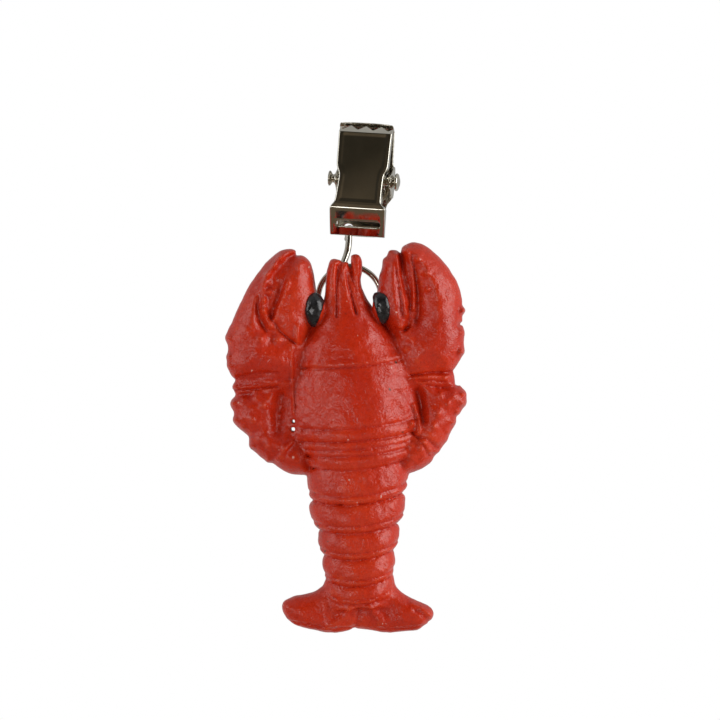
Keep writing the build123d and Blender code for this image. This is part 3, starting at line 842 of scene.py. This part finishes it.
def clip_lever(name, node, body, build, low, high):
    """One pressed lever, meshed on a grid between two corners."""
    grid = Grid(low, high, LEVER_CELL)
    sample_on(grid)
    lever = skin(name, build(grid), grid, clip_to_row, SHEET_METAL)
    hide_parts(node)
    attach(lever, body)


clip_lever("front_lever_pressing", "clip_front_lever", "clip_front", front_lever_field,
           (-5.7, -5.0, -10.6), (5.3, 2.0, 10.4))
clip_lever("back_lever_pressing", "clip_back_lever", "clip_back", back_lever_field,
           (-5.7, -2.0, -10.3), (5.5, 4.5, 10.6))


def lathe(name, profile, material, segments=72):
    """A turned piece: half section of (along, radius) spun round the pin's line."""
    section = rounded_run(profile)
    points, faces = [], []
    for along, radius in section:
        for i in range(segments):
            angle = 2 * math.pi * i / segments
            points.append((along, radius * math.cos(angle), radius * math.sin(angle)))
    rings = len(section)
    for r in range(rings - 1):
        for i in range(segments):
            j = (i + 1) % segments
            faces.append((r * segments + i, r * segments + j, (r + 1) * segments + j, (r + 1) * segments + i))
    start, end = len(points), len(points) + 1
    points += [(profile[0][0], 0, 0), (profile[-1][0], 0, 0)]
    for i in range(segments):
        j = (i + 1) % segments
        faces.append((start, j, i))
        faces.append((end, (rings - 1) * segments + i, (rings - 1) * segments + j))
    return mesh_object(name, clip_to_row(points), faces, material)


def rounded_run(points, rounds=2):
    """Corner-cutting along an open run that keeps its ends."""
    line = [tuple(p) for p in points]
    for _ in range(rounds):
        cut = [line[0]]
        for a, b in zip(line[:-1], line[1:]):
            cut.append((0.8 * a[0] + 0.2 * b[0], 0.8 * a[1] + 0.2 * b[1]))
            cut.append((0.2 * a[0] + 0.8 * b[0], 0.2 * a[1] + 0.8 * b[1]))
        line = cut + [line[-1]]
    return [p for p in line if p[1] > 1e-6]


pin = lathe("pivot_pin_turned", [
    (-6.12, 0.0), (-6.12, 0.55), (-6.22, 0.95), (-6.34, 1.22), (-6.22, 1.36), (-6.02, 1.30), (-5.86, 1.02),
    (-5.72, 0.78), (-5.50, 0.72), (-5.24, 0.90), (-5.10, 0.98), (-5.05, 0.84), (4.98, 0.84), (5.04, 1.18),
    (5.20, 1.24), (5.30, 0.95), (5.40, 0.80), (5.52, 0.92), (5.60, 1.46), (5.76, 1.58), (5.98, 1.54),
    (6.14, 1.34), (6.26, 0.90), (6.40, 0.55), (6.44, 0.0),
], SHEET_METAL)
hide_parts("pivot_pin")
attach(pin, "clip_back")


def tube(name, path, radius, place, material, sides=18):
    """A round wire along a run of points, with domed ends."""
    path = np.array(path, dtype=np.float64)
    tangent = np.gradient(path, axis=0)
    tangent /= np.linalg.norm(tangent, axis=1)[:, None]
    up = np.cross(tangent[0], (0.31, 0.77, 0.55))
    up /= np.linalg.norm(up)
    rings, frames = [], []
    for t in tangent:
        up = up - t * up.dot(t)
        up /= np.linalg.norm(up)
        frames.append((up.copy(), np.cross(t, up)))
    around = np.linspace(0, 2 * math.pi, sides, endpoint=False)
    for centre, (a, b) in zip(path, frames):
        rings.append(centre + radius * (np.outer(np.cos(around), a) + np.outer(np.sin(around), b)))
    for end, step in ((0, -1), (-1, 1)):
        a, b = frames[end]
        dome = []
        for turn in (0.45, 0.85, 1.2):
            centre = path[end] + step * tangent[end] * radius * 0.6 * math.sin(turn)
            dome.append(centre + radius * math.cos(turn)
                        * (np.outer(np.cos(around), a) + np.outer(np.sin(around), b)))
        rings = (dome[::-1] + rings) if step < 0 else (rings + dome)
    points = np.concatenate(rings)
    faces = []
    last = len(rings) - 1
    for r in range(last):
        for i in range(sides):
            j = (i + 1) % sides
            faces.append((r * sides + i, r * sides + j, (r + 1) * sides + j, (r + 1) * sides + i))
    faces.append(tuple(range(sides))[::-1])
    faces.append(tuple(last * sides + i for i in range(sides)))
    return mesh_object(name, place(points), faces, material)


# ---- torsion spring: legs lean on the two levers, the coil twists between them ----
COIL_R, COIL_TURNS, COIL_PITCH, SPRING_LEG = 1.72, 5.444, 0.98, 4.3
SPRING_WIRE, HOOK_WIRE, RING_WIRE = 0.27, 0.58, 0.51  # radii of the wires


def spring_path():
    """The wire's centre line in clip millimetres, from the back leg's end to the front leg's end."""
    length = COIL_PITCH * COIL_TURNS
    angles = np.linspace(0, 2 * math.pi * COIL_TURNS, 200)
    coil = np.stack([COIL_R * np.cos(angles), COIL_R * np.sin(angles), length * angles / angles[-1]], 1)
    first, last = coil[1] - coil[0], coil[-1] - coil[-2]
    run = np.linspace(1, 0, 16, endpoint=False)[:, None] * SPRING_LEG
    back_leg = coil[0] - run * first / np.linalg.norm(first)
    front_leg = coil[-1] + run[::-1] * last / np.linalg.norm(last)
    path = np.vstack([back_leg, coil, front_leg])
    # wound about its own length first, then laid along the pin
    return np.stack([path[:, 2] - length / 2, path[:, 0], path[:, 1]], 1)


spring = tube("torsion_spring_wire", spring_path(), SPRING_WIRE, clip_to_row, WIRE_METAL)
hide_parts("torsion_spring")
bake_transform(spring)


# ======== hook, ring ========
def joint_place(name):
    """Where a joint of the record lies, in millimetres."""
    joints = frame["record"]["behaviour"]["joints"]
    return np.array(next(j["pos_m"] for j in joints if j["name"] == name)) / MM


bar, ring_top = joint_place("hook_swing"), joint_place("ring_swing")
HOOK_BEND = 1.23  # radius of both bends
LOW_TIP, TOP_TIP = 1.2, 0.35  # straight ends past the bends
LOW_DROP, TOP_DROP = 0.22, 0.1  # bends' middles below the ring's top and the bar
SWAY = 0.42  # sideways curve of the shank


def hook_path():
    """Row millimetres: round the ring's top, up an S-curved shank, over the clip's bar."""
    rise = np.linalg.norm(bar - ring_top)
    up = (bar - ring_top) / rise
    across = np.cross((0, 1, 0), up)
    across /= np.linalg.norm(across)
    back = np.cross(across, up)
    run = []
    for t in np.linspace(0, 1, 6, endpoint=False):
        run.append((LOW_TIP - (LOW_TIP + LOW_DROP) * t, -HOOK_BEND, 0))
    for a in np.radians(np.linspace(270, 90, 28)):
        run.append((-LOW_DROP + HOOK_BEND * math.cos(a), HOOK_BEND * math.sin(a), 0))
    for t in np.linspace(0, 1, 26)[1:-1]:
        run.append((-LOW_DROP + (rise + LOW_DROP - TOP_DROP) * t, HOOK_BEND, SWAY * math.sin(math.pi * t)))
    for a in np.radians(np.linspace(90, -90, 28)):
        run.append((rise - TOP_DROP + HOOK_BEND * math.cos(a), HOOK_BEND * math.sin(a), 0))
    for t in np.linspace(0, 1, 6)[1:]:
        run.append((rise - TOP_DROP - TOP_TIP * t, -HOOK_BEND, 0))
    run = np.array(run)
    return ring_top + run[:, :1] * up + run[:, 1:2] * back + run[:, 2:3] * across


def row_mm(points):
    """Row millimetres to row metres."""
    return np.array(points) * MM


hook = tube("hook_wire", hook_path(), HOOK_WIRE, row_mm, WIRE_METAL, sides=24)
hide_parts("wire_hook")
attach(hook, "hook")

ring_middle = (np.array(ring_low) + np.array(ring_high)) / 2 / MM
RING_R, RING_ENDS, RING_TWIST = 5.575, (-51.2, 307.4), 0.03  # mm, degrees of its two ends, mm out of flat


def ring_path():
    """A split ring bent from wire: its two ends butt at the lower right, a hair apart."""
    angles = np.radians(np.linspace(*RING_ENDS, 150))
    lift = RING_TWIST * np.sin(2 * angles)
    return ring_middle + np.stack([RING_R * np.cos(angles), lift, RING_R * np.sin(angles)], 1)


ring = tube("hanging_ring_wire", ring_path(), RING_WIRE, row_mm, WIRE_METAL, sides=24)
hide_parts("hanging_ring")
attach(ring, "ring")

# the eyelet is the plain bent wire it should be, so it keeps its shape and gets the wire's finish
eyelet = frame["nodes"]["cast_in_eyelet"]
eyelet.data.materials.clear()
eyelet.data.materials.append(WIRE_METAL)


# ======== stage, light, camera ========
VIEW_CENTRE = np.array([-0.00314, -0.003, -0.04113])
PIXEL = 0.0001755  # metres across one picture element
FRAME = 720  # picture elements across the view
DISTANCE, ROLL, SENSOR = 0.60, 2.4, 36.0  # camera: m from the object, degrees, mm


FLOOR_DROP, FLOOR_HALF = 0.06, 0.38  # below the tail's tip, half of its side, m
CARD_X, CARD_Y, CARD_Z = (-1.25, 1.05), -0.80, (-0.75, 1.10)
FLAG_X, FLAG_Y, FLAG_LIFT = (-0.9, 0.9), (-0.78, 0.03), 0.004


def stage_floor():
    """A pale floor below the tail, a dark card behind the camera and a dark flag just above the floor.

    The camera doesn't see the card or the flag; they are painted reflection: dark sheets that the polished
    clip reflects. The flag is also hidden from diffuse and shadow rays, so it doesn't darken the rest.
    """
    z, half = CAST_Z - FLOOR_DROP, FLOOR_HALF
    pale, _, bsdf, _ = new_material("pale_floor")
    bsdf.inputs["Base Color"].default_value = (0.93, 0.93, 0.93, 1)
    bsdf.inputs["Roughness"].default_value = 0.9
    floor = mesh_object("floor", [(-half, -half, z), (half, -half, z), (half, half, z), (-half, half, z)],
                        [(0, 1, 2, 3)], pale)
    dark, tree, bsdf, place = new_material("dark_card")
    height = tree.nodes.new("ShaderNodeSeparateXYZ")
    tree.links.new(place, height.inputs[0])
    # painted reflection: the card is lighter low and darker high, the tone that the clip's face shows
    painted_reflection_tone = ramp(tree, height.outputs[2], [(0.12, (0.210, 0.160, 0.105)), (0.44, (0.050, 0.040, 0.024))])
    tree.links.new(painted_reflection_tone, bsdf.inputs["Base Color"])
    bsdf.inputs["Roughness"].default_value = 1.0
    (left, right), (low, high) = CARD_X, CARD_Z
    card = mesh_object("dark_card", [(left, CARD_Y, low), (right, CARD_Y, low), (right, CARD_Y, high),
                                     (left, CARD_Y, high)], [(0, 1, 2, 3)], dark)
    card.visible_camera = False
    # painted reflection: the flag darkens only what the clip reflects of the floor
    z += FLAG_LIFT
    (left, right), (near_y, far_y) = FLAG_X, FLAG_Y
    flag = mesh_object("dark_flag", [(left, near_y, z), (right, near_y, z), (right, far_y, z),
                                     (left, far_y, z)], [(0, 1, 2, 3)], dark)
    flag.visible_camera = False
    flag.visible_diffuse = False
    flag.visible_shadow = False


def area_light(name, place, size, power):
    """A white rectangular light aimed at the middle of the view."""
    data = bpy.data.lights.new(name, "AREA")
    data.shape = "RECTANGLE"
    data.size, data.size_y = size
    data.energy = power
    obj = bpy.data.objects.new(name, data)
    bpy.context.scene.collection.objects.link(obj)
    obj.location = place
    obj.rotation_mode = "QUATERNION"
    obj.rotation_quaternion = Vector(VIEW_CENTRE - np.array(place)).to_track_quat("-Z", "Y")


stage_floor()
area_light("key_right", (0.60, -0.24, 0.06), (0.42, 0.62), 3.3)
area_light("fill_left", (-0.60, -0.22, 0.12), (0.30, 0.50), 1.0)
area_light("front_left", (-0.30, -0.60, -0.20), (0.26, 0.28), 1.5)

# white behind the object, dimmer as light on it
world = bpy.data.worlds.new("studio")
world.use_nodes = True
world_tree = world.node_tree
background = world_tree.nodes["Background"]
rays = world_tree.nodes.new("ShaderNodeLightPath")
white = ramp(world_tree, rays.outputs["Is Camera Ray"], [(0.0, grey(0.48)), (1.0, grey(1.0))])
world_tree.links.new(white, background.inputs["Color"])
background.inputs["Strength"].default_value = 1.0
bpy.context.scene.world = world

camera_data = bpy.data.cameras.new("camera")
camera = bpy.data.objects.new("camera", camera_data)
bpy.context.scene.collection.objects.link(camera)
camera_data.sensor_width = SENSOR
camera_data.lens = SENSOR * DISTANCE / (FRAME * PIXEL)
camera_data.clip_start = 0.01
camera_data.clip_end = 10.0
camera.location = (VIEW_CENTRE[0], VIEW_CENTRE[1] - DISTANCE, VIEW_CENTRE[2])
camera.rotation_euler = (math.radians(90), math.radians(ROLL), 0)
bpy.context.scene.camera = camera
bpy.context.scene.view_settings.view_transform = "Standard"
